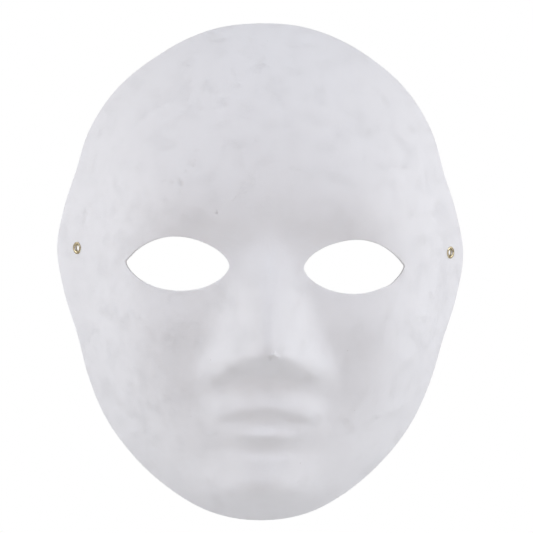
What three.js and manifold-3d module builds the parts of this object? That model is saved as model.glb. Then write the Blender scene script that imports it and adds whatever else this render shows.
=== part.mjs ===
// Blank full-face mask of moulded paper pulp with two brass eyelets at the temples.
// Millimetres, +Z up, the face looks along -Y, +X is the wearer's left. The origin is on the
// inner surface of the sheet, on the midline at half the height of the mask.

import * as THREE from 'three';
import { mergeVertices } from 'three/addons/utils/BufferGeometryUtils.js';
import Module from 'manifold-3d';

// ---- sheet ----
const SHEET = 1.2;
const RINGS = 26;
const RING_MIDDLE_Z = -50;
const RING_CROWDING = 1.15;

// half width of the rim at each height, seen from the front, from the crown down to the chin
const RIM_HALF = [
  [0, 120.5],
  [25.4, 117.3],
  [50.5, 105.2],
  [71, 88.2],
  [83.6, 68.1],
  [89.6, 48],
  [96, 28.1],
  [99.1, 10],
  [95.3, -12],
  [89, -32],
  [83.6, -52.1],
  [74.9, -72.1],
  [59.3, -92.2],
  [41.4, -107.2],
  [21.3, -117.4],
  [0, -120.4],
];

// the rim is trimmed a little off centre, most of all above the eyelets
const TRIM_LEAN = -0.7;
const TRIM_LEAN_ABOVE = -1.5;
const TRIM_LEAN_LEVEL = 51;
const TRIM_LEAN_SPREAD = 37;
const TRIM_TURN = 0.0023;

// ---- bowl of the face: its depth, and where it would close on itself ----
const BOWL_DEPTH = 121.5;
const BOWL_HALF_WIDTH = 112;
const BOWL_TOP = 146.7;
const BOWL_BOTTOM = 143;
const BOWL_POWER = 2.31;
const JAW_TAPER = 17.9;
const JAW_LEVEL = -43.6;
const JAW_SPREAD = 26;

// ---- soft swellings and hollows of the face: [height, x, half width, z, half height] ----
const TEMPLE = [7.3, 52.9, 23, 38.6, 19.5];
const FOREHEAD = [3.2, 0, 32.6, 71.4, 23.1];
const SOCKET = [-3.9, 37.4, 16.8, 8.7, 9.3];
const BRIDGE_DIP = [-3.1, 0, 15.6, 13, 12];
const LOWER_LID = [-1.37, 43.3, 19.8, -11.7, 7];
const CHEEK = [5.1, 62.6, 13.1, -27.4, 28.3];
const CHEEK_FOLD = [-7, 23.6, 13.8, -54.8, 26.8];
const NOSE_WING = [1.6, 22.7, 4.6, -42.8, 4.3];
const NOSE_PAD = [1, 0, 8.8, -39.9, 1.54];
const MUZZLE = [7.6, 0, 33.2, -72.2, 18.8];
const LIP_PAD = [2.22, 19.4, 5.9, -65.1, 5];
const MOUTH_LINE = [-2.09, 0, 14.9, -71.3, 2.19];
const LOWER_LIP = [2.73, 0, 11, -78.2, 2.04];
const UNDER_LIP = [-1.08, 0, 14, -79.2, 2.52];
const CHIN_DIP = [-1.66, 0, 14.5, -85.2, 2.54];
const CHIN = [17.3, 0, 22.3, -105.6, 8.7];
const JOWL = [4.1, 0, 37.6, -90.5, 8.9];

// the upper lip droops towards the corners of the mouth
const UPPER_LIP = [2.25, 0, 20.6, -66.3, 5.6];
const UPPER_CREASE = [-1.82, 0, 10.8, -68, 1.75];
const MOUTH_DROOP = 0.0099;

// ---- flare of the rim at the temples ----
const FLARE_SLOPE = 0.66;
const FLARE_START = 86.3;
const FLARE_SOFT = 2.6;
const FLARE_LEVEL = 10;
const FLARE_SPREAD = 45;

// ---- wedge-shaped nose ----
const NOSE_TOP = 21.1;
const NOSE_TIP = -37.6;
const NOSE_HEIGHT = 25.9;
const NOSE_GROWTH = 1.24;
const NOSE_ROOT_HALF = 7.3;
const NOSE_BASE_HALF = 27.8;
const NOSE_RIDGE_RADIUS = 4.6;
const NOSE_SIDE_SOFT = 0.129;
const NOSE_UNDER_SOFT = 3.11;
const NOSE_ARCH = 8.7;
const NOSE_ARCH_HALF = 23.4;

// ---- eye openings ----
// the outer corner is the sharper and higher one, and the left opening is cut a little lower
const EYE_X = 42;
const EYE_Z = 3.1;
const EYE_SKEW = 0.25;
const EYE_TILT = 0.75;
const EYE_HALF_LENGTH = 24.5;
const EYE_UPPER = 12.7;
const EYE_UPPER_SHAPE = 0.74;
const EYE_OUTER_SHARPER = 0.14;
const EYE_LOWER = 12.8;
const EYE_LOWER_SHAPE = 0.635;
const EYE_POINTS = 26;

// ---- eyelets ----
const EYELET_X = 90.4;
const EYELET_Z = 10.4;
const EYELET_HOLE_RADIUS = 2.2;
const BARREL_RADIUS = 1.9;
const BORE_RADIUS = 1.45;
const FLANGE_RADIUS = 2.95;
const FLANGE_RISE = 0.85;
const CLINCH_RADIUS = 2.65;
const CLINCH_THICKNESS = 0.3;
const WASHER_RADIUS = 3.2;
const WASHER_THICKNESS = 0.3;
const GAP = 0.3;
const TURN_STEPS = 28;

const bell = (t) => Math.exp(-0.5 * t * t);
const step = (t) => 1 / (1 + Math.exp(-t));
const ramp = (t, soft) => soft * Math.log1p(Math.exp(t / soft));

// one soft shape: a single one on the midline, or the same on both sides of the face
function swelling([height, x0, halfWidth, z0, halfHeight], x, z) {
  const right = bell((x - x0) / halfWidth);
  const across = x0 === 0 ? right : right + bell((x + x0) / halfWidth);
  return height * across * bell((z - z0) / halfHeight);
}

function bowl(x, z) {
  const halfWidth = BOWL_HALF_WIDTH - JAW_TAPER * step((JAW_LEVEL - z) / JAW_SPREAD);
  const halfHeight = z > 0 ? BOWL_TOP : BOWL_BOTTOM;
  const left = 1 - (x / halfWidth) ** 2 - (Math.abs(z) / halfHeight) ** BOWL_POWER;
  return BOWL_DEPTH * (Math.sqrt(ramp(left, 0.03)) - 1);
}

function flare(x, z) {
  const out = ramp(Math.abs(x) - FLARE_START, FLARE_SOFT);
  return FLARE_SLOPE * out * bell((z - FLARE_LEVEL) / FLARE_SPREAD);
}

function nose(x, z) {
  const down = ramp((NOSE_TOP - z) / (NOSE_TOP - NOSE_TIP), 0.04);
  const half = NOSE_ROOT_HALF + (NOSE_BASE_HALF - NOSE_ROOT_HALF) * Math.min(down, 1.4);
  const across = ramp(1 - Math.hypot(x, NOSE_RIDGE_RADIUS) / half, NOSE_SIDE_SOFT);
  const arch = NOSE_ARCH * Math.tanh((x / NOSE_ARCH_HALF) ** 2);
  const under = step((z - NOSE_TIP + 3 + arch) / NOSE_UNDER_SOFT + 1);
  return NOSE_HEIGHT * down ** NOSE_GROWTH * across * under;
}

const FEATURES = [
  TEMPLE,
  FOREHEAD,
  SOCKET,
  BRIDGE_DIP,
  LOWER_LID,
  CHEEK,
  CHEEK_FOLD,
  NOSE_WING,
  NOSE_PAD,
  MUZZLE,
  LIP_PAD,
  MOUTH_LINE,
  LOWER_LIP,
  UNDER_LIP,
  CHIN_DIP,
  CHIN,
  JOWL,
];

// how far forward the front surface stands at a point of the front view
function relief(x, z) {
  let forward = bowl(x, z) + flare(x, z) + nose(x, z);
  for (const soft of FEATURES) {
    forward += swelling(soft, x, z);
  }
  const drooped = z + MOUTH_DROOP * x * x;
  return forward + swelling(UPPER_LIP, x, drooped) + swelling(UPPER_CREASE, x, drooped);
}

const FRONT_AT_ORIGIN = relief(0, 0) - SHEET;

function frontPoint(x, z) {
  return new THREE.Vector3(x, FRONT_AT_ORIGIN - relief(x, z), z);
}

// unit normal of the front surface, pointing out of the face
function frontNormal(x, z) {
  const h = 0.4;
  const slopeX = (relief(x + h, z) - relief(x - h, z)) / (2 * h);
  const slopeZ = (relief(x, z + h) - relief(x, z - h)) / (2 * h);
  return new THREE.Vector3(-slopeX, -1, -slopeZ).normalize();
}

function offsetPoint(x, z, distance) {
  return frontPoint(x, z).addScaledVector(frontNormal(x, z), distance);
}

// the closed rim as a smooth curve that starts at the crown and runs clockwise in front view
function rimCurve() {
  const above = (z) => TRIM_LEAN_ABOVE * bell((z - TRIM_LEAN_LEVEL) / TRIM_LEAN_SPREAD);
  const at = (x, z) => new THREE.Vector3(x + TRIM_LEAN + above(z) + TRIM_TURN * z, 0, z);
  const right = RIM_HALF.map(([x, z]) => at(x, z));
  const left = RIM_HALF.slice(1, -1).reverse().map(([x, z]) => at(-x, z));
  const curve = new THREE.CatmullRomCurve3([...right, ...left], true, 'centripetal');
  curve.arcLengthDivisions = 1200;
  return curve;
}

// rings of the sheet: ring k has 6k points evenly spread along a copy of the rim, scaled about
// a point under the nose, and the rings crowd there because the mouth and nose need them
function ringPoints() {
  const curve = rimCurve();
  const points = [[0, RING_MIDDLE_Z]];
  for (let k = 1; k <= RINGS; k += 1) {
    const scale = (k / RINGS) ** RING_CROWDING;
    for (let i = 0; i < 6 * k; i += 1) {
      const p = curve.getPointAt(i / (6 * k));
      points.push([p.x * scale, RING_MIDDLE_Z + (p.z - RING_MIDDLE_Z) * scale]);
    }
  }
  return points;
}

const ringStart = (k) => (k === 0 ? 0 : 1 + 3 * k * (k - 1));
const ringIndex = (k, i) => (k === 0 ? 0 : ringStart(k) + (i % (6 * k)));

// clockwise in front view, so every triangle faces out of the front
function ringTriangles() {
  const triangles = [];
  for (let k = 1; k <= RINGS; k += 1) {
    for (let sector = 0; sector < 6; sector += 1) {
      for (let j = 0; j < k; j += 1) {
        const outer = sector * k + j;
        const inner = sector * (k - 1) + j;
        triangles.push([ringIndex(k, outer), ringIndex(k - 1, inner), ringIndex(k, outer + 1)]);
        if (j < k - 1) {
          triangles.push([ringIndex(k - 1, inner), ringIndex(k - 1, inner + 1), ringIndex(k, outer + 1)]);
        }
      }
    }
  }
  return triangles;
}

// the whole sheet before anything is cut out of it
function sheetGeometry() {
  const points = ringPoints();
  const faces = ringTriangles();
  const count = points.length;
  const positions = [];
  for (const [x, z] of points) {
    positions.push(...offsetPoint(x, z, 0).toArray());
  }
  for (const [x, z] of points) {
    positions.push(...offsetPoint(x, z, -SHEET).toArray());
  }
  const index = [];
  for (const [a, b, c] of faces) {
    index.push(a, b, c);
    index.push(a + count, c + count, b + count);
  }
  for (let i = 0; i < 6 * RINGS; i += 1) {
    const a = ringIndex(RINGS, i);
    const b = ringIndex(RINGS, i + 1);
    index.push(a, b, b + count);
    index.push(a, b + count, a + count);
  }
  return indexed(positions, index);
}

function indexed(positions, index) {
  const geometry = new THREE.BufferGeometry();
  geometry.setAttribute('position', new THREE.Float32BufferAttribute(positions, 3));
  geometry.setIndex(index);
  return geometry;
}

// almond outline of one eye opening, clockwise in front view
function eyeOutline(side) {
  const points = [];
  for (let i = 0; i < 2 * EYE_POINTS; i += 1) {
    const turn = (Math.PI * i) / EYE_POINTS;
    const along = -Math.cos(turn);
    const outward = side * along;
    const level = EYE_Z - side * EYE_SKEW + EYE_TILT * outward;
    const open = Math.max(1 - along * along, 0);
    const upper = EYE_UPPER * open ** (EYE_UPPER_SHAPE + EYE_OUTER_SHARPER * outward);
    const lower = EYE_LOWER * open ** EYE_LOWER_SHAPE;
    const z = i <= EYE_POINTS ? level + upper : level - lower;
    points.push([side * EYE_X + EYE_HALF_LENGTH * along, z]);
  }
  return points;
}

// block with sides square to the sheet all round an opening
function openingCutter(outline) {
  const reach = 6;
  const count = outline.length;
  const positions = [];
  const middle = [new THREE.Vector3(), new THREE.Vector3()];
  [reach, -reach].forEach((distance, end) => {
    for (const [x, z] of outline) {
      const p = offsetPoint(x, z, distance);
      middle[end].addScaledVector(p, 1 / count);
      positions.push(...p.toArray());
    }
  });
  positions.push(...middle[0].toArray(), ...middle[1].toArray());
  const index = [];
  for (let i = 0; i < count; i += 1) {
    const next = (i + 1) % count;
    index.push(2 * count, next, i);
    index.push(2 * count + 1, count + i, count + next);
    index.push(i, next, count + next);
    index.push(i, count + next, count + i);
  }
  return indexed(positions, index);
}

// turn of a lathe made along +Y so that it stands square on the sheet at an eyelet
function eyeletPlace(side) {
  const normal = frontNormal(side * EYELET_X, EYELET_Z);
  const turn = new THREE.Quaternion().setFromUnitVectors(new THREE.Vector3(0, 1, 0), normal);
  const at = frontPoint(side * EYELET_X, EYELET_Z);
  return new THREE.Matrix4().compose(at, turn, new THREE.Vector3(1, 1, 1));
}

function lathe(profile, side) {
  const points = profile.map(([r, h]) => new THREE.Vector2(r, h));
  const geometry = new THREE.LatheGeometry(points, TURN_STEPS);
  return welded(geometry.applyMatrix4(eyeletPlace(side)));
}

function welded(geometry) {
  geometry.deleteAttribute('normal');
  geometry.deleteAttribute('uv');
  return mergeVertices(geometry, 1e-4);
}

// brass tube with a rolled flange in front and a flat clinch behind the washer
function eyeletGeometry(side) {
  const clinchTop = -(SHEET + 2 * GAP + WASHER_THICKNESS);
  const back = clinchTop - CLINCH_THICKNESS;
  const profile = [
    [BORE_RADIUS, back],
    [CLINCH_RADIUS, back],
    [CLINCH_RADIUS, clinchTop],
    [BARREL_RADIUS, clinchTop],
    [BARREL_RADIUS, GAP],
    [FLANGE_RADIUS, GAP],
    [FLANGE_RADIUS - 0.1, FLANGE_RISE - 0.2],
    [FLANGE_RADIUS - 0.45, FLANGE_RISE],
    [BARREL_RADIUS + 0.1, FLANGE_RISE - 0.05],
    [BORE_RADIUS + 0.15, FLANGE_RISE - 0.35],
    [BORE_RADIUS, FLANGE_RISE - 0.75],
    [BORE_RADIUS, back],
  ];
  return lathe(profile, side);
}

function washerGeometry(side) {
  const front = -(SHEET + GAP);
  const back = front - WASHER_THICKNESS;
  const profile = [
    [EYELET_HOLE_RADIUS, back],
    [WASHER_RADIUS, back],
    [WASHER_RADIUS, front],
    [EYELET_HOLE_RADIUS, front],
    [EYELET_HOLE_RADIUS, back],
  ];
  return lathe(profile, side);
}

function drillGeometry(side) {
  const profile = [
    [0, -6],
    [EYELET_HOLE_RADIUS, -6],
    [EYELET_HOLE_RADIUS, 6],
    [0, 6],
  ];
  return lathe(profile, side);
}

const wasm = await Module();
wasm.setup();

function toManifold(geometry) {
  const vertProperties = new Float32Array(geometry.attributes.position.array);
  const triVerts = new Uint32Array(geometry.index.array);
  return new wasm.Manifold(new wasm.Mesh({ numProp: 3, vertProperties, triVerts }));
}

function fromManifold(solid) {
  const mesh = solid.getMesh();
  return indexed(Array.from(mesh.vertProperties), Array.from(mesh.triVerts));
}

function shellGeometry() {
  let solid = toManifold(sheetGeometry());
  for (const side of [-1, 1]) {
    solid = solid.subtract(toManifold(openingCutter(eyeOutline(side))));
    solid = solid.subtract(toManifold(drillGeometry(side)));
  }
  return fromManifold(solid);
}

function piece(name, geometry, colour, roughness, metalness) {
  geometry.computeVertexNormals();
  const material = new THREE.MeshStandardMaterial({ color: colour, roughness, metalness });
  material.name = name;
  const mesh = new THREE.Mesh(geometry, material);
  mesh.name = name;
  return mesh;
}

const PULP = 0xe8e9ec;
const BRASS = 0xb5a06a;

const group = new THREE.Group();
group.name = 'blank_full_face_mask';
group.add(piece('mask_shell', shellGeometry(), PULP, 0.85, 0));
for (const [word, side] of [['left', 1], ['right', -1]]) {
  group.add(piece(`eyelet_${word}`, eyeletGeometry(side), BRASS, 0.35, 1));
  group.add(piece(`eyelet_washer_${word}`, washerGeometry(side), BRASS, 0.4, 1));
}

export default group;
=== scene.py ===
"""Blank full-face mask of moulded paper pulp with a brass eyelet at each temple."""

import math

import bpy
import numpy as np
from mathutils import Matrix, Vector
from mathutils.geometry import delaunay_2d_cdt


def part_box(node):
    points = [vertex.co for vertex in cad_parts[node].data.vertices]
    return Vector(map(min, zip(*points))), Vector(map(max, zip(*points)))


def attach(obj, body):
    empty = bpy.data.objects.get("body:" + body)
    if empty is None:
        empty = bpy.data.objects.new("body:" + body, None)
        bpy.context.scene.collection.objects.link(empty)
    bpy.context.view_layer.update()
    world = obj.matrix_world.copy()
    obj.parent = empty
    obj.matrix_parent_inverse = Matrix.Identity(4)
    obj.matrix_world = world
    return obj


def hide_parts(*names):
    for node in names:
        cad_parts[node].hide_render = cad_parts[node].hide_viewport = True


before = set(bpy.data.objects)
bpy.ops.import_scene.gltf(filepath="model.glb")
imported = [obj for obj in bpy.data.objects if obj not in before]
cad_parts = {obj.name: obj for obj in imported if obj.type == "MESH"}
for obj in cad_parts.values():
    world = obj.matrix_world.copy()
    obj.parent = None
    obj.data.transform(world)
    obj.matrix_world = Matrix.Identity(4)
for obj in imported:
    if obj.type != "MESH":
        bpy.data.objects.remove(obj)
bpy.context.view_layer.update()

SHELL_LOW, SHELL_HIGH = (np.array(corner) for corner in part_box("mask_shell"))

# ---- shape of the face, in millimetres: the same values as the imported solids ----
SHEET = 1.2
HEIGHT = 240.9
MM = (SHELL_HIGH[2] - SHELL_LOW[2]) / HEIGHT

RIM_HALF = [
    (0, 120.5),
    (25.4, 117.3),
    (50.5, 105.2),
    (71, 88.2),
    (83.6, 68.1),
    (89.6, 48),
    (96, 28.1),
    (99.1, 10),
    (95.3, -12),
    (89, -32),
    (83.6, -52.1),
    (74.9, -72.1),
    (59.3, -92.2),
    (41.4, -107.2),
    (21.3, -117.4),
    (0, -120.4),
]
# the rim is trimmed off centre: everywhere, more round one level, and turned a little
TRIM_LEAN = -0.7
TRIM_LEAN_ABOVE = -1.5
TRIM_LEAN_LEVEL = 51
TRIM_LEAN_SPREAD = 37
TRIM_TURN = 0.0023

BOWL_DEPTH = 121.5
BOWL_HALF_WIDTH = 112
BOWL_TOP = 146.7
BOWL_BOTTOM = 143
BOWL_POWER = 2.31
JAW_TAPER = 17.9
JAW_LEVEL = -43.6
JAW_SPREAD = 26

# soft swellings and hollows: height, x, half width, z, half height
FEATURES = {
    "temple": (7.3, 52.9, 23, 38.6, 19.5),
    "forehead": (3.2, 0, 32.6, 71.4, 23.1),
    "socket": (-3.9, 37.4, 16.8, 8.7, 9.3),
    "bridge_dip": (-3.1, 0, 15.6, 13, 12),
    "lower_lid": (-1.37, 43.3, 19.8, -11.7, 7),
    "cheek": (5.1, 62.6, 13.1, -27.4, 28.3),
    "cheek_fold": (-7, 23.6, 13.8, -54.8, 26.8),
    "nose_wing": (1.6, 22.7, 4.6, -42.8, 4.3),
    "nose_pad": (1, 0, 8.8, -39.9, 1.54),
    "muzzle": (7.6, 0, 33.2, -72.2, 18.8),
    "lip_pad": (2.22, 19.4, 5.9, -65.1, 5),
    "mouth_line": (-2.09, 0, 14.9, -71.3, 2.19),
    "lower_lip": (2.73, 0, 11, -78.2, 2.04),
    "under_lip": (-1.08, 0, 14, -79.2, 2.52),
    "chin_dip": (-1.66, 0, 14.5, -85.2, 2.54),
    "chin": (17.3, 0, 22.3, -105.6, 8.7),
    "jowl": (4.1, 0, 37.6, -90.5, 8.9),
}
DROOPED = {
    "upper_lip": (2.25, 0, 20.6, -66.3, 5.6),
    "upper_crease": (-1.82, 0, 10.8, -68, 1.75),
}
MOUTH_DROOP = 0.0099

FLARE_SLOPE = 0.66
FLARE_START = 86.3
FLARE_SOFT = 2.6
FLARE_LEVEL = 10
FLARE_SPREAD = 45

NOSE_TOP = 21.1
NOSE_TIP = -37.6
NOSE_HEIGHT = 25.9
NOSE_GROWTH = 1.24
NOSE_ROOT_HALF = 7.3
NOSE_BASE_HALF = 27.8
NOSE_RIDGE_RADIUS = 4.6
NOSE_SIDE_SOFT = 0.129
NOSE_UNDER_SOFT = 3.11
NOSE_ARCH = 8.7
NOSE_ARCH_HALF = 23.4

EYE_X = 42
EYE_Z = 3.1
EYE_SKEW = 0.25
EYE_TILT = 0.75
EYE_HALF_LENGTH = 24.5
EYE_UPPER = 12.7
EYE_UPPER_SHAPE = 0.74
EYE_OUTER_SHARPER = 0.14
EYE_LOWER = 12.8
EYE_LOWER_SHAPE = 0.635

EYELET_X = 90.4
EYELET_Z = 10.4
EYELET_DIMPLE = 0.3
WASHER_DIMPLE = 0.15
BARREL_RADIUS = 1.9
BORE_RADIUS = 1.45
FLANGE_RADIUS = 2.95
WASHER_RADIUS = 3.2
EYELET_WOBBLE = 0.05
WASHER_WOBBLE = 0.04

# ---- fine surface ----
GRID = 1.0
MARK_GRID = 0.4
LATTICE_HALF_WIDTH = 102
LATTICE_CLEARANCE = 0.5
MARK_WARP = 0.6
EDGE_ROUND = 0.42
EDGE_INSETS = (0.0, 0.05, 0.16, 0.34, 0.8)
WALL_RINGS = 4
# a mark this deep, in millimetres, gets the full painted shade in its pit
PIT_SHADE_DEPTH = 0.8
LIP_RISE = 0.5
LIP_WIDTH = 3.2
LIP_START = 82
LIP_LEVEL = 8
LIP_SPREAD = 34
# how far each eye opening was cut off its place, in millimetres
EYE_CUT_SLIP = {-1: -0.55, 1: 0.0}
# where the knife slipped at the opening on the wearer's left: depth, x, z, radius
KNIFE_SLIP = (0.55, 60.0, -5.6, 2.2)
RIM_STEP = 0.95
RIM_WANDER = 0.16
EYE_STEP = 0.6
EYE_WANDER = 0.12
FRAY = 0.035
WALL_FRAY = 0.06


def bell(t):
    return np.exp(-0.5 * t * t)


def step(t):
    return 1 / (1 + np.exp(-np.clip(t, -60, 60)))


def ramp(t, soft):
    return soft * np.logaddexp(0, t / soft)


def swelling(shape, x, z):
    height, x0, half_width, z0, half_height = shape
    across = bell((x - x0) / half_width)
    if x0:
        across = across + bell((x + x0) / half_width)
    return height * across * bell((z - z0) / half_height)


def relief(x, z):
    """How far forward the front surface stands, in millimetres, at points of the front view."""
    half_width = BOWL_HALF_WIDTH - JAW_TAPER * step((JAW_LEVEL - z) / JAW_SPREAD)
    half_height = np.where(z > 0, BOWL_TOP, BOWL_BOTTOM)
    left = 1 - (x / half_width) ** 2 - (np.abs(z) / half_height) ** BOWL_POWER
    forward = BOWL_DEPTH * (np.sqrt(ramp(left, 0.03)) - 1)
    flared = ramp(np.abs(x) - FLARE_START, FLARE_SOFT)
    forward = forward + FLARE_SLOPE * flared * bell((z - FLARE_LEVEL) / FLARE_SPREAD)
    down = ramp((NOSE_TOP - z) / (NOSE_TOP - NOSE_TIP), 0.04)
    half = NOSE_ROOT_HALF + (NOSE_BASE_HALF - NOSE_ROOT_HALF) * np.minimum(down, 1.4)
    across = ramp(1 - np.hypot(x, NOSE_RIDGE_RADIUS) / half, NOSE_SIDE_SOFT)
    arch = NOSE_ARCH * np.tanh((x / NOSE_ARCH_HALF) ** 2)
    under = step((z - NOSE_TIP + 3 + arch) / NOSE_UNDER_SOFT + 1)
    forward = forward + NOSE_HEIGHT * down**NOSE_GROWTH * across * under
    for shape in FEATURES.values():
        forward = forward + swelling(shape, x, z)
    drooped = z + MOUTH_DROOP * x * x
    for shape in DROOPED.values():
        forward = forward + swelling(shape, x, drooped)
    return forward


def field(x, z, cell, seed):
    """Smooth random heights within about -1 to 1, with hills about one cell wide."""
    table = np.random.default_rng(seed).uniform(-1, 1, (256, 256))
    u = x / cell + 1000.37
    v = z / cell + 1000.71
    i = np.floor(u).astype(int)
    j = np.floor(v).astype(int)
    s = u - i
    t = v - j
    s = s * s * s * (s * (6 * s - 15) + 10)
    t = t * t * t * (t * (6 * t - 15) + 10)
    low = table[i % 256, j % 256] * (1 - s) + table[(i + 1) % 256, j % 256] * s
    high = table[i % 256, (j + 1) % 256] * (1 - s) + table[(i + 1) % 256, (j + 1) % 256] * s
    return low * (1 - t) + high * t


def turned(x, z, degrees):
    c = math.cos(math.radians(degrees))
    s = math.sin(math.radians(degrees))
    return c * x - s * z, s * x + c * z


def marked(x, z):
    """Height of the small marks of the moulding."""
    forward = np.zeros_like(x)
    across = x + MARK_WARP * field(x, z, 1.6, 8)
    upward = z + MARK_WARP * field(x, z, 1.6, 9)
    for height, x0, z0, size in MARKS:
        forward = forward + height * bell(np.hypot(across - x0, upward - z0) / size)
    return forward


def pressed_by_eyelet(x, z):
    """1 at an eyelet's middle, fading away round it; the slope there narrows it in the front view."""
    return bell(np.hypot((np.abs(x) - EYELET_X) * 1.5, z - EYELET_Z) / 3.4)


def skin(x, z):
    """Unevenness of the moulded front, in millimetres: slow waves, pulp clots and single marks."""
    forward = 0.05 * field(*turned(x, z, 17), 19, 3)
    forward = forward + 0.02 * field(*turned(x, z, 41), 7.5, 4)
    forward = forward + 0.02 * field(*turned(x, z, 63), 2.9, 5)
    forward = forward + marked(x, z)
    return forward - EYELET_DIMPLE * pressed_by_eyelet(x, z)


# small marks of the moulding: height, x, z, radius
MARKS = [
    (-0.60, -24.1, 27.8, 0.5),
    (0.25, -30.5, -49.5, 1.0),
    (-0.16, -34.4, 52.7, 0.5),
    (-0.28, -35.2, 50.1, 0.7),
    (-0.16, -37.2, 50.8, 0.7),
    (0.10, -33.7, 46.8, 0.7),
    (-0.16, -39.4, 46.8, 0.6),
    (-0.32, -41.5, 42.2, 0.8),
    (-0.20, -41.0, 40.9, 0.6),
    (-0.15, -45.7, 42.0, 0.7),
    (0.10, -43.4, 43.8, 0.8),
    (-0.11, -49.4, 42.7, 0.7),
    (-0.11, -48.8, 34.1, 0.8),
    (-0.11, -41.9, 37.5, 0.7),
    (-0.11, -33.9, 57.5, 0.7),
    (0.90, 3.1, -38.6, 0.7),
    (0.80, 4.5, -39.7, 0.6),
    (-0.30, 1.8, -40.3, 0.8),
    (0.12, 12.0, -88.0, 1.6),
    (-0.08, 48.0, 66.0, 1.8),
]


def rough_inside(x, z):
    """Unevenness of the back of the sheet, which the mould didn't press smooth."""
    deep = 0.16 * field(*turned(x, z, 29), 8.5, 11)
    deep = deep + 0.09 * field(*turned(x, z, 52), 3.6, 12)
    return deep + 0.05 * field(*turned(x, z, 8), 1.9, 13)


def slopes(x, z):
    h = 0.4
    across = (relief(x + h, z) - relief(x - h, z)) / (2 * h)
    upward = (relief(x, z + h) - relief(x, z - h)) / (2 * h)
    return across, upward


def normals(x, z):
    """Unit normals of the front surface, pointing out of the face."""
    across, upward = slopes(x, z)
    out = np.stack([-across, -np.ones_like(across), -upward], axis=-1)
    return out / np.linalg.norm(out, axis=-1, keepdims=True)


TIP_Z = np.linspace(NOSE_TIP - 6, NOSE_TIP + 8, 141)
FOREMOST = relief(np.zeros_like(TIP_Z), TIP_Z).max() + SHELL_LOW[1] / MM


def surface(x, z, extra=0.0):
    """Points of the front surface in millimetres, in the row's frame."""
    return np.stack([x, FOREMOST - relief(x, z) - extra, z], axis=-1)


# ---- outlines in the front view: the sheet is always on the right hand of the way round ----
def even_steps(points, length):
    """A closed outline walked again in even steps of about this length."""
    closed = np.vstack([points, points[:1]])
    run = np.concatenate([[0], np.cumsum(np.linalg.norm(np.diff(closed, axis=0), axis=1))])
    count = int(round(run[-1] / length))
    at = np.arange(count) * run[-1] / count
    return np.stack([np.interp(at, run, closed[:, k]) for k in (0, 1)], axis=1)


def smooth_closed(points, per_span=40):
    """Centripetal Catmull-Rom curve through closed points."""
    out = []
    count = len(points)
    for i in range(count):
        p0, p1, p2, p3 = (points[(i + k) % count] for k in (-1, 0, 1, 2))
        d0, d1, d2 = (math.sqrt(np.linalg.norm(b - a)) for a, b in ((p0, p1), (p1, p2), (p2, p3)))
        t1 = ((p1 - p0) / d0 - (p2 - p0) / (d0 + d1) + (p2 - p1) / d1) * d1
        t2 = ((p2 - p1) / d1 - (p3 - p1) / (d1 + d2) + (p3 - p2) / d2) * d1
        t = np.linspace(0, 1, per_span, endpoint=False)[:, None]
        a = 2 * p1 - 2 * p2 + t1 + t2
        b = -3 * p1 + 3 * p2 - 2 * t1 - t2
        out.append(a * t**3 + b * t**2 + t1 * t + p1)
    return np.vstack(out)


def right_hand(loop):
    """Unit directions into the sheet all along an outline."""
    along = np.roll(loop, -1, axis=0) - np.roll(loop, 1, axis=0)
    along = along / np.linalg.norm(along, axis=1, keepdims=True)
    return np.stack([along[:, 1], -along[:, 0]], axis=1)


def hand_cut(loop, seed, wander):
    """An outline cut by hand: it wanders slowly and its fibres fray a little."""
    slow = field(loop[:, 0], loop[:, 1], 17, seed)
    fray = field(loop[:, 0], loop[:, 1], 1.7, seed + 1)
    return loop + right_hand(loop) * (wander * slow + FRAY * fray)[:, None]


def rim_loop():
    half = np.array(RIM_HALF, dtype=float)
    above = TRIM_LEAN_ABOVE * bell((half[:, 1] - TRIM_LEAN_LEVEL) / TRIM_LEAN_SPREAD)
    shift = TRIM_LEAN + above + TRIM_TURN * half[:, 1]
    right = half + np.stack([shift, 0 * shift], axis=1)
    left = (half * (-1, 1) + np.stack([shift, 0 * shift], axis=1))[1:-1][::-1]
    outline = even_steps(smooth_closed(np.vstack([right, left])), RIM_STEP)
    return hand_cut(outline, 21, RIM_WANDER)


def eye_loop(side):
    turn = np.linspace(0, 2 * math.pi, 720, endpoint=False)
    along = np.cos(turn)
    outward = side * along
    left = np.maximum(1 - along * along, 0)
    upper = EYE_UPPER * left ** (EYE_UPPER_SHAPE + EYE_OUTER_SHARPER * outward)
    lower = EYE_LOWER * left**EYE_LOWER_SHAPE
    rise = EYE_TILT * outward + np.where(turn < math.pi, upper, -lower)
    across = side * EYE_X + EYE_CUT_SLIP[side] + EYE_HALF_LENGTH * along
    outline = np.stack([across, EYE_Z - side * EYE_SKEW + rise], axis=1)
    loop = hand_cut(even_steps(outline, EYE_STEP), 31 + side, EYE_WANDER)
    if side > 0:
        depth, x0, z0, size = KNIFE_SLIP
        slip = depth * bell(np.hypot(loop[:, 0] - x0, loop[:, 1] - z0) / size)
        loop = loop + right_hand(loop) * slip[:, None]
    return loop


def tangents(side):
    """Where an eyelet stands, in millimetres: its point on the front, normal and two tangents."""
    x = np.array([side * EYELET_X])
    z = np.array([EYELET_Z])
    point = surface(x, z, skin(x, z))[0]
    out = normals(x, z)[0]
    up = np.array([0.0, 0.0, 1.0]) - out[2] * out
    up = up / np.linalg.norm(up)
    return point, out, up, np.cross(up, out)


def eyelet_hole_loop(side):
    point, _, up, aside = tangents(side)
    turn = np.linspace(0, 2 * math.pi, 30, endpoint=False)[:, None]
    ring = point + (BARREL_RADIUS - 0.08) * (np.cos(turn) * aside + np.sin(turn) * up)
    loop = ring[:, [0, 2]]
    area = np.sum(loop[:, 0] * np.roll(loop[:, 1], -1) - np.roll(loop[:, 0], -1) * loop[:, 1])
    return loop if area > 0 else loop[::-1]


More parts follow.
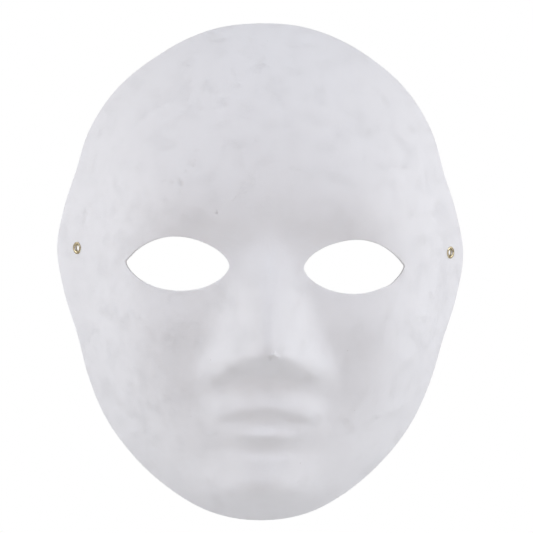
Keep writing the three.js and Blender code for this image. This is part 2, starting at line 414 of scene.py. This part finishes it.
def inset(loop, distance):
    """The outline moved into the sheet by a distance measured along the bent surface."""
    into = right_hand(loop)
    across, upward = slopes(loop[:, 0], loop[:, 1])
    stretch = np.sqrt(1 + (across * into[:, 0] + upward * into[:, 1]) ** 2)
    return loop + into * (distance / stretch)[:, None]


def lattice(spacing):
    """Points of the whole front view in even triangles."""
    rows = np.arange(-HEIGHT / 2, HEIGHT / 2, spacing * math.sqrt(0.75))
    x, z = np.meshgrid(np.arange(-LATTICE_HALF_WIDTH, LATTICE_HALF_WIDTH, spacing), rows)
    x = x + np.where(np.arange(len(rows)) % 2, spacing / 2, 0)[:, None]
    return np.stack([x.ravel(), z.ravel()], axis=1)


def near_marks(points):
    near = np.zeros(len(points), bool)
    for _, x, z, radius in MARKS:
        near |= np.hypot(points[:, 0] - x, points[:, 1] - z) < 2.5 * radius
    return near


def lattice_inside(loops):
    """Points of the sheet that keep clear of every outline, and how far each is from the rim."""
    coarse = lattice(GRID)
    fine = lattice(MARK_GRID)
    points = np.vstack([coarse[~near_marks(coarse)], fine[near_marks(fine)]])
    edge = np.vstack(loops)
    into = np.vstack([right_hand(loop) for loop in loops])
    kept = []
    from_rim = []
    for chunk in np.array_split(points, 60):
        apart = chunk[:, None, :] - edge[None, :, :]
        distance = np.einsum("ijk,ijk->ij", apart, apart)
        near = np.argmin(distance, axis=1)
        pick = np.arange(len(chunk))
        inside = np.einsum("ij,ij->i", apart[pick, near], into[near]) > 0
        clear = inside & (distance[pick, near] > (EDGE_INSETS[-1] + LATTICE_CLEARANCE) ** 2)
        kept.append(chunk[clear])
        from_rim.append(np.sqrt(distance[:, : len(loops[0])].min(axis=1))[clear])
    return np.vstack(kept), np.concatenate(from_rim)


def flat_mesh(loops):
    """Triangles of the sheet in the front view, each point's distance from the edge, and the edges."""
    inner, from_rim = lattice_inside(loops)
    points = [inner]
    depth = [from_rim]
    start = len(inner)
    edges = []
    outer = []
    for loop in loops:
        outer.append(start + np.arange(len(loop)))
        for distance in EDGE_INSETS:
            ring = start + np.arange(len(loop))
            points.append(inset(loop, distance))
            depth.append(np.full(len(loop), distance))
            edges.extend(zip(ring.tolist(), np.roll(ring, -1).tolist()))
            start += len(loop)
    points = np.vstack(points)
    depth = np.concatenate(depth)
    made = delaunay_2d_cdt([Vector(p) for p in points], edges, [], 1, 1e-7)
    if len(made[0]) != len(points):
        raise ValueError("outlines cross: the sheet can't be meshed")
    order = np.array([source[0] for source in made[3]])
    triangles = order[np.array(made[2])]
    for ring in outer[1:]:
        hole = np.isin(triangles, ring).all(axis=1)
        triangles = triangles[~hole]
    return points, depth, triangles, outer


def rounded(depth):
    """How far the surface falls away towards a cut edge."""
    left = np.clip(EDGE_ROUND - depth, 0, EDGE_ROUND)
    return EDGE_ROUND - np.sqrt(EDGE_ROUND**2 - left**2)


def temple_lip(x, z, depth):
    """How far the trimmed rim turns forward along the temple tabs."""
    rise = LIP_RISE * np.clip(1 - depth / LIP_WIDTH, 0, 1) ** 2
    return rise * bell((z - LIP_LEVEL) / LIP_SPREAD) * step(np.abs(x) - LIP_START)


def shell_mesh():
    loops = [rim_loop()]
    loops += [eye_loop(side) for side in (-1, 1)]
    loops += [eyelet_hole_loop(side) for side in (-1, 1)]
    points, depth, triangles, outer = flat_mesh(loops)
    x, z = points.T
    out = normals(x, z)
    fall = rounded(depth)[:, None]
    lip = np.array([0, -1, 0]) * temple_lip(x, z, depth)[:, None]
    front = surface(x, z, skin(x, z)) - out * fall + lip
    pressed = pressed_by_eyelet(x, z)
    uneven = rough_inside(x, z) * np.clip(depth, 0.25, 1) * (1 - pressed)
    thick = SHEET + uneven - WASHER_DIMPLE * pressed
    back = surface(x, z) - out * (thick[:, None] - fall) + lip
    count = len(points)
    vertices = [front, back]
    faces = [triangles, triangles[:, ::-1] + count]
    slots = [np.zeros(len(triangles), int), np.ones(len(triangles), int)]
    walls = []
    start = 2 * count
    for number, ring in enumerate(outer):
        rings = [ring]
        for k in range(1, WALL_RINGS):
            share = k / WALL_RINGS
            middle = front[ring] * (1 - share) + back[ring] * share
            along = np.arange(len(ring)) * 0.7
            fray = WALL_FRAY * field(along, np.full(len(ring), 3.1 * k), 1.6, 40 + number)
            into = right_hand(loops[number])
            middle[:, 0] -= fray * into[:, 0]
            middle[:, 2] -= fray * into[:, 1]
            vertices.append(middle)
            rings.append(start + np.arange(len(ring)))
            start += len(ring)
        rings.append(ring + count)
        for near, far in zip(rings, rings[1:]):
            walls.append(np.stack([near, np.roll(near, -1), np.roll(far, -1), far], axis=1))
    quads = np.vstack(walls)
    polygons = np.vstack(faces).tolist() + quads.tolist()
    slots = np.concatenate(slots + [np.full(len(quads), 2)])
    # painted shade: the front's colour darkens with the depth of each mark's pit
    pit_shade = np.zeros(start)
    pit_shade[:count] = np.clip(-marked(x, z) / PIT_SHADE_DEPTH, 0, 1)
    return np.vstack(vertices), polygons, slots, pit_shade


def mesh_object(name, vertices, polygons):
    mesh = bpy.data.meshes.new(name)
    mesh.from_pydata((vertices * MM).tolist(), [], polygons)
    mesh.shade_smooth()
    made = bpy.data.objects.new(name, mesh)
    bpy.context.scene.collection.objects.link(made)
    return made


# ---- materials ----
# the colour sockets of a Mix node, which shares its socket names with its number and vector forms
MIX_A = 6
MIX_B = 7
MIX_RESULT = 2


class Nodes:
    """Short way to build one material's nodes and links."""

    def __init__(self, name):
        self.material = bpy.data.materials.new(name)
        self.material.use_nodes = True
        self.tree = self.material.node_tree
        self.tree.nodes.clear()
        self.place = self.add("ShaderNodeTexCoord").outputs["Object"]

    def add(self, kind, settings=(), **inputs):
        made = self.tree.nodes.new(kind)
        for key, value in dict(settings).items():
            setattr(made, key, value)
        for key, value in inputs.items():
            self.put(made.inputs[key.replace("_", " ")], value)
        return made

    def put(self, socket, value):
        if isinstance(value, bpy.types.NodeSocket):
            self.tree.links.new(value, socket)
        else:
            socket.default_value = value

    def noise(self, size, detail=2.0, rough=0.5, distortion=0.0, at=None):
        """Noise with hills about this many metres apart."""
        made = self.add("ShaderNodeTexNoise", Vector=at or self.place, Scale=1 / size, Detail=detail)
        made.inputs["Roughness"].default_value = rough
        made.inputs["Distortion"].default_value = distortion
        return made.outputs["Fac"]

    def stretched(self, scale, turn):
        made = self.add("ShaderNodeMapping", Vector=self.place)
        made.inputs["Scale"].default_value = scale
        made.inputs["Rotation"].default_value = turn
        return made.outputs["Vector"]

    def math(self, operation, *values):
        made = self.add("ShaderNodeMath", {"operation": operation})
        for socket, value in zip(made.inputs, values):
            self.put(socket, value)
        return made.outputs[0]

    def between(self, value, low, high, to_low=0.0, to_high=1.0):
        """A smooth step from to_low to to_high as the value goes from low to high."""
        made = self.add("ShaderNodeMapRange", {"interpolation_type": "SMOOTHSTEP"}, Value=value)
        for key, number in zip(("From Min", "From Max", "To Min", "To Max"), (low, high, to_low, to_high)):
            made.inputs[key].default_value = number
        return made.outputs["Result"]

    def blend(self, share, a, b):
        made = self.add("ShaderNodeMix", {"data_type": "RGBA"})
        self.put(made.inputs["Factor"], share)
        self.put(made.inputs[MIX_A], a)
        self.put(made.inputs[MIX_B], b)
        return made.outputs[MIX_RESULT]

    def bump(self, height, distance, strength=1.0, under=None):
        made = self.add("ShaderNodeBump", Height=height, Distance=distance, Strength=strength)
        if under is not None:
            self.put(made.inputs["Normal"], under)
        return made.outputs["Normal"]

    def finish(self, **inputs):
        shader = self.add("ShaderNodeBsdfPrincipled")
        for key, value in inputs.items():
            self.put(shader.inputs[key.replace("_", " ")], value)
        output = self.add("ShaderNodeOutputMaterial")
        self.tree.links.new(shader.outputs[0], output.inputs["Surface"])
        return self.material


def pulp_material(name, light, shade, lifts, fibre_share, roughness):
    """Dry white paper pulp: cloudy colour, crossing fibres, rare specks, painted shade in the pits of the
    marks and a soft grain.

    The lifts are heights in millimetres of the clots, the grain and the fibres.
    """
    n = Nodes(name)
    clot_lift, grain_lift, fibre_lift = lifts
    cloud = n.noise(0.035, 3, 0.55)
    clots = n.noise(0.0065, 2, 0.5, 0.4)
    tone = n.math("ADD", n.math("MULTIPLY", cloud, 0.4), n.math("MULTIPLY", clots, 0.6))
    colour = n.blend(n.between(tone, 0.2, 0.8), shade, light)
    fibres = None
    turns = ((0.3, 0.2, 0.5), (0.9, 0.4, 1.7), (0.1, 1.1, 2.6), (1.4, 0.3, 0.9))
    for turn in turns:
        at = n.stretched((0.12, 1.0, 1.0), turn)
        line = n.noise(0.0011, 1.0, 0.4, 1.6, at)
        line = n.between(n.math("ABSOLUTE", n.math("SUBTRACT", line, 0.5)), 0.0, 0.035, 1.0, 0.0)
        fibres = line if fibres is None else n.math("MAXIMUM", fibres, line)
    patchy = n.between(n.noise(0.009, 2, 0.5), 0.3, 0.75)
    fibres = n.math("MULTIPLY", fibres, patchy)
    colour = n.blend(n.math("MULTIPLY", fibres, fibre_share), colour, (0.93, 0.93, 0.93, 1))
    cells = n.add("ShaderNodeTexVoronoi", Vector=n.place, Scale=230.0)
    spot = n.between(cells.outputs["Distance"], 0.03, 0.085, 1.0, 0.0)
    rare = n.add("ShaderNodeSeparateColor", Color=cells.outputs["Color"]).outputs[0]
    spot = n.math("MULTIPLY", spot, n.between(rare, 0.965, 0.975))
    colour = n.blend(n.math("MULTIPLY", spot, 0.5), colour, (0.45, 0.42, 0.37, 1))
    # painted shade: the colour turns dark brown in the marks' pits, the deeper the pit the darker
    pit_shade = n.add("ShaderNodeAttribute", {"attribute_name": "pit_shade"}).outputs["Fac"]
    colour = n.blend(n.math("MULTIPLY", pit_shade, 0.4), colour, (0.3, 0.28, 0.25, 1))
    fine = n.noise(0.0009, 3, 0.65)
    normal = n.bump(clots, 0.001 * clot_lift, 1.0)
    normal = n.bump(fine, 0.001 * grain_lift, 1.0, normal)
    normal = n.bump(fibres, 0.001 * fibre_lift, 1.0, normal)
    rough = n.between(clots, 0.3, 0.7, roughness, roughness + 0.08)
    return n.finish(Base_Color=colour, Roughness=rough, Specular_IOR_Level=0.25, Normal=normal)


def edge_material(name):
    """Cut edge of the sheet, where broken fibres lie open in layers."""
    n = Nodes(name)
    layers = n.noise(0.0004, 4, 0.7, 0.6, n.stretched((0.5, 2.2, 0.5), (0.0, 0.0, 0.0)))
    torn = n.noise(0.0016, 3, 0.6)
    colour = n.blend(n.between(layers, 0.35, 0.65), (0.74, 0.74, 0.73, 1), (0.83, 0.83, 0.82, 1))
    colour = n.blend(n.between(torn, 0.55, 0.8, 0.0, 0.4), colour, (0.6, 0.58, 0.55, 1))
    normal = n.bump(layers, 0.00022, 0.9)
    normal = n.bump(torn, 0.0003, 0.7, normal)
    rough = n.between(torn, 0.3, 0.7, 0.9, 1.0)
    return n.finish(Base_Color=colour, Roughness=rough, Specular_IOR_Level=0.2, Normal=normal)


def brass_material(name, bright, dull, polish):
    """Drawn brass with brown tarnish in patches, fine scratches and slight dents."""
    n = Nodes(name)
    tarnish = n.between(n.noise(0.0014, 4, 0.65), 0.42, 0.66)
    colour = n.blend(tarnish, bright, dull)
    scratch = n.noise(0.0003, 2, 0.5, 0.3, n.stretched((0.2, 1.0, 2.0), (0.4, 0.2, 0.8)))
    dulled = n.between(tarnish, 0.0, 1.0, polish, polish + 0.2)
    rough = n.math("ADD", dulled, n.math("MULTIPLY", scratch, 0.08))
    normal = n.bump(n.noise(0.0006, 3, 0.6), 0.00004, 0.6)
    normal = n.bump(scratch, 0.000012, 0.5, normal)
    return n.finish(Base_Color=colour, Metallic=1.0, Roughness=rough, Normal=normal)


# ---- eyelets ----
def rounded_profile(points, rounds=2):
    """A closed profile with its corners cut off again and again until it is smooth."""
    points = np.array(points, dtype=float)
    for _ in range(rounds):
        after = np.roll(points, -1, axis=0)
        near = 0.75 * points + 0.25 * after
        far = 0.25 * points + 0.75 * after
        points = np.stack([near, far], axis=1).reshape(-1, 2)
    return points


def turned_piece(name, side, profile, wobble, seed, steps=72):
    """A ring turned from a closed profile of (radius, height) and set square on the sheet."""
    point, out, up, aside = tangents(side)
    turn = np.arange(steps) * 2 * math.pi / steps
    swing = np.cos(turn) * 3.0
    sway = np.sin(turn) * 3.0
    bend = field(swing, sway, 2.2, seed) * wobble
    rings = []
    for radius, height in profile:
        share = np.clip((radius - BORE_RADIUS) / (FLANGE_RADIUS - BORE_RADIUS), 0, 1)
        r = radius + bend * share
        h = height + 0.6 * bend * share
        level = np.outer(r * np.cos(turn), aside) + np.outer(r * np.sin(turn), up)
        rings.append(point + level + np.outer(h, out))
    count = len(profile)
    index = np.arange(count * steps).reshape(count, steps)
    onward = np.roll(index, -1, axis=0)
    quads = np.stack([index, np.roll(index, -1, axis=1), np.roll(onward, -1, axis=1), onward], axis=-1)
    return mesh_object(name, np.vstack(rings), quads.reshape(-1, 4).tolist())


# a rolled flange in front, a straight throat, and a clinch rolled out over the washer behind
EYELET_PROFILE = [
    (BORE_RADIUS, -0.2),
    (BORE_RADIUS, -1.05),
    (BORE_RADIUS + 0.16, -1.32),
    (2.15, -1.56),
    (2.6, -1.42),
    (2.66, -1.25),
    (2.45, -1.18),
    (BARREL_RADIUS + 0.1, -1.21),
    (BARREL_RADIUS - 0.1, -1.0),
    (BARREL_RADIUS - 0.1, -0.1),
    (2.2, 0.02),
    (2.7, -0.12),
    (FLANGE_RADIUS, -0.08),
    (FLANGE_RADIUS + 0.03, 0.2),
    (FLANGE_RADIUS - 0.3, 0.52),
    (BARREL_RADIUS + 0.35, 0.6),
    (BORE_RADIUS + 0.32, 0.42),
    (BORE_RADIUS + 0.06, 0.1),
]
WASHER_PROFILE = [
    (BARREL_RADIUS + 0.02, -0.87),
    (BARREL_RADIUS + 0.02, -1.12),
    (2.7, -1.16),
    (WASHER_RADIUS - 0.1, -1.1),
    (WASHER_RADIUS, -0.96),
    (WASHER_RADIUS - 0.06, -0.84),
    (2.7, -0.9),
]

# ---- build the object ----
FRONT_LIGHT = (0.832, 0.832, 0.832, 1)
FRONT_SHADE = (0.82, 0.82, 0.82, 1)
pulp_front = pulp_material("pulp_front", FRONT_LIGHT, FRONT_SHADE, (0.05, 0.05, 0.04), 0.06, 0.82)
INSIDE_LIGHT = (0.8, 0.8, 0.8, 1)
INSIDE_SHADE = (0.73, 0.73, 0.725, 1)
pulp_inside = pulp_material("pulp_inside", INSIDE_LIGHT, INSIDE_SHADE, (0.6, 0.25, 0.1), 0.16, 0.9)
pulp_edge = edge_material("pulp_cut_edge")
brass_eyelet = brass_material("brass_eyelet", (0.7, 0.61, 0.4, 1), (0.3, 0.25, 0.15, 1), 0.3)
brass_washer = brass_material("brass_washer", (0.68, 0.58, 0.36, 1), (0.34, 0.27, 0.16, 1), 0.34)

vertices, polygons, slots, pit_shade = shell_mesh()
shell = mesh_object("pulp_shell", vertices, polygons)
for material in (pulp_front, pulp_inside, pulp_edge):
    shell.data.materials.append(material)
shell.data.polygons.foreach_set("material_index", slots.astype(np.int32))
shell.data.attributes.new("pit_shade", "FLOAT", "POINT").data.foreach_set("value", pit_shade.astype(np.float32))
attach(shell, "root")
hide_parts("mask_shell")

for word, side in (("left", 1), ("right", -1)):
    profile = rounded_profile(EYELET_PROFILE)
    eyelet = turned_piece(f"rolled_eyelet_{word}", side, profile, EYELET_WOBBLE, 60 + side)
    eyelet.data.materials.append(brass_eyelet)
    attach(eyelet, "root")
    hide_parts(f"eyelet_{word}")
    profile = rounded_profile(WASHER_PROFILE)
    washer = turned_piece(f"stamped_washer_{word}", side, profile, WASHER_WOBBLE, 70 + side)
    washer.data.materials.append(brass_washer)
    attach(washer, "root")
    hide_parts(f"eyelet_washer_{word}")

# ---- floor, light and camera ----
floor_mesh = bpy.data.meshes.new("studio_floor")
FLOOR_Z = float(SHELL_LOW[2]) - 0.07
FLOOR_RADIUS = 0.8
FLOOR_SIDES = 96
turns = [i * 2 * math.pi / FLOOR_SIDES for i in range(FLOOR_SIDES)]
rim = [(FLOOR_RADIUS * math.cos(a), FLOOR_RADIUS * math.sin(a), FLOOR_Z) for a in turns]
floor_mesh.from_pydata(rim, [], [list(range(FLOOR_SIDES))])
floor = bpy.data.objects.new("studio_floor", floor_mesh)
bpy.context.scene.collection.objects.link(floor)
n = Nodes("pale_floor")
floor_colour = n.blend(n.noise(0.2, 2), (0.8, 0.8, 0.8, 1), (0.83, 0.83, 0.83, 1))
floor_mesh.materials.append(n.finish(Base_Color=floor_colour, Roughness=0.9))

MIDDLE = Vector((0.0, 0.01, 0.0))
LIGHT_DISTANCE = 1.5


def softbox(name, azimuth, elevation, width, height, watts, colour):
    """A soft light that looks at the mask; azimuth 0 is in front, 90 on the wearer's left."""
    a = math.radians(azimuth)
    e = math.radians(elevation)
    away = Vector((math.sin(a) * math.cos(e), -math.cos(a) * math.cos(e), math.sin(e)))
    data = bpy.data.lights.new(name, "AREA")
    data.shape = "RECTANGLE"
    data.size = width
    data.size_y = height
    data.energy = watts
    data.color = colour
    made = bpy.data.objects.new(name, data)
    made.location = MIDDLE + away * LIGHT_DISTANCE
    made.rotation_euler = away.to_track_quat("Z", "Y").to_euler()
    bpy.context.scene.collection.objects.link(made)


COOL = (0.8, 0.872, 1.0)
NEUTRAL = (1.0, 0.99, 0.98)
WARM = (1.0, 0.67, 0.44)
# name, azimuth, elevation, width, height, watts, colour
SOFTBOXES = [
    ("side_left", -90, 25, 1.0, 1.0, 6.8, NEUTRAL),
    ("side_right", 90, 25, 1.0, 1.0, 6.9, NEUTRAL),
    ("tall_left", -60, 28, 1.0, 1.7, 14.0, COOL),
    ("tall_right", 60, 28, 1.0, 1.7, 15.2, COOL),
    ("front", 0, 10, 1.0, 1.0, 1.3, WARM),
    ("behind", 180, 15, 1.4, 1.4, 7.5, NEUTRAL),
]
for box in SOFTBOXES:
    softbox(*box)

AMBIENT_ABOVE = 0.035
AMBIENT_BELOW = 0.3
world = bpy.data.worlds.new("studio")
bpy.context.scene.world = world
world.use_nodes = True
tree = world.node_tree
tree.nodes.clear()
seen = tree.nodes.new("ShaderNodeLightPath")
white = tree.nodes.new("ShaderNodeBackground")
white.inputs["Color"].default_value = (1, 1, 1, 1)
white.inputs["Strength"].default_value = 1.0
ambient = tree.nodes.new("ShaderNodeBackground")
ambient.inputs["Color"].default_value = (*WARM, 1)
direction = tree.nodes.new("ShaderNodeTexCoord")
height = tree.nodes.new("ShaderNodeSeparateXYZ")
tree.links.new(direction.outputs["Generated"], height.inputs[0])
fade = tree.nodes.new("ShaderNodeMapRange")
tree.links.new(height.outputs["Z"], fade.inputs["Value"])
for key, value in (("From Min", -1), ("From Max", 1), ("To Min", AMBIENT_BELOW), ("To Max", AMBIENT_ABOVE)):
    fade.inputs[key].default_value = value
tree.links.new(fade.outputs["Result"], ambient.inputs["Strength"])
either = tree.nodes.new("ShaderNodeMixShader")
output = tree.nodes.new("ShaderNodeOutputWorld")
tree.links.new(seen.outputs["Is Camera Ray"], either.inputs[0])
tree.links.new(ambient.outputs[0], either.inputs[1])
tree.links.new(white.outputs[0], either.inputs[2])
tree.links.new(either.outputs[0], output.inputs["Surface"])

bpy.context.scene.view_settings.view_transform = "Standard"

# the view is turned a little to the wearer's right and tipped a little on its side
AZIMUTH = math.radians(-2.06)
TIP = math.radians(0.69)
DISTANCE = 1.8
FRAME_WIDTH = 0.25766
RIM_BEHIND = 45.0
SENSOR = 36.0
side_way = Vector((math.cos(AZIMUTH), math.sin(AZIMUTH), 0))
away = Vector((math.sin(AZIMUTH), -math.cos(AZIMUTH), 0))
right = side_way * math.cos(TIP) + Vector((0, 0, 1)) * math.sin(TIP)
up = Vector((0, 0, 1)) * math.cos(TIP) - side_way * math.sin(TIP)
AIM_RIGHT = 0.00117
AIM_UP = 0.00256
aim = Vector((0, (FOREMOST + RIM_BEHIND) * MM, 0)) + right * AIM_RIGHT + up * AIM_UP
camera_data = bpy.data.cameras.new("camera")
camera_data.sensor_width = SENSOR
camera_data.lens = SENSOR * DISTANCE / FRAME_WIDTH
camera = bpy.data.objects.new("camera", camera_data)
place = Matrix((right, up, away)).transposed().to_4x4()
place.translation = aim + away * DISTANCE
camera.matrix_world = place
bpy.context.scene.collection.objects.link(camera)
bpy.context.scene.camera = camera
